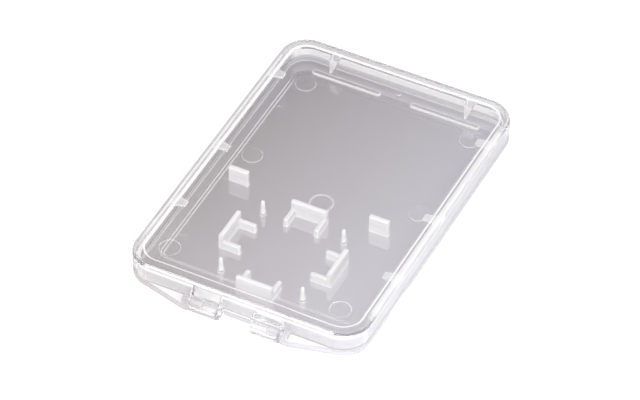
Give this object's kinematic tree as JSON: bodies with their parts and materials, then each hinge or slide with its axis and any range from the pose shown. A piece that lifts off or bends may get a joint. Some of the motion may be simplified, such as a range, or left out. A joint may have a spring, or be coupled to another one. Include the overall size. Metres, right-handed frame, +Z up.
{
  "type": "memory card case",
  "caption": "Flat clear plastic case for a small memory card: shallow tray with a bracket nest, and a lid on two moulded hinges.",
  "frame": {"origin": "middle of the closed case's footprint, hinges included, on the surface it lies on", "axes": "+X across the short side, +Y from the hinges to the closing edge, +Z up"},
  "size_m": [0.0738, 0.1106, 0.0087],
  "materials": {
    "clear_plastic": "clear and polished, with the edges of the moulding showing bright"
  },
  "bodies": {
    "tray": {"base_tray": "clear_plastic"},
    "lid": {"lid": "clear_plastic"}
  },
  "joints": [
    {"name": "lid_hinge", "type": "hinge", "parent": "tray", "child": "lid", "pos_m": [0, -0.05295, 0.0028], "axis": [1, 0, 0], "range_deg": [0, 130]}
  ]
}
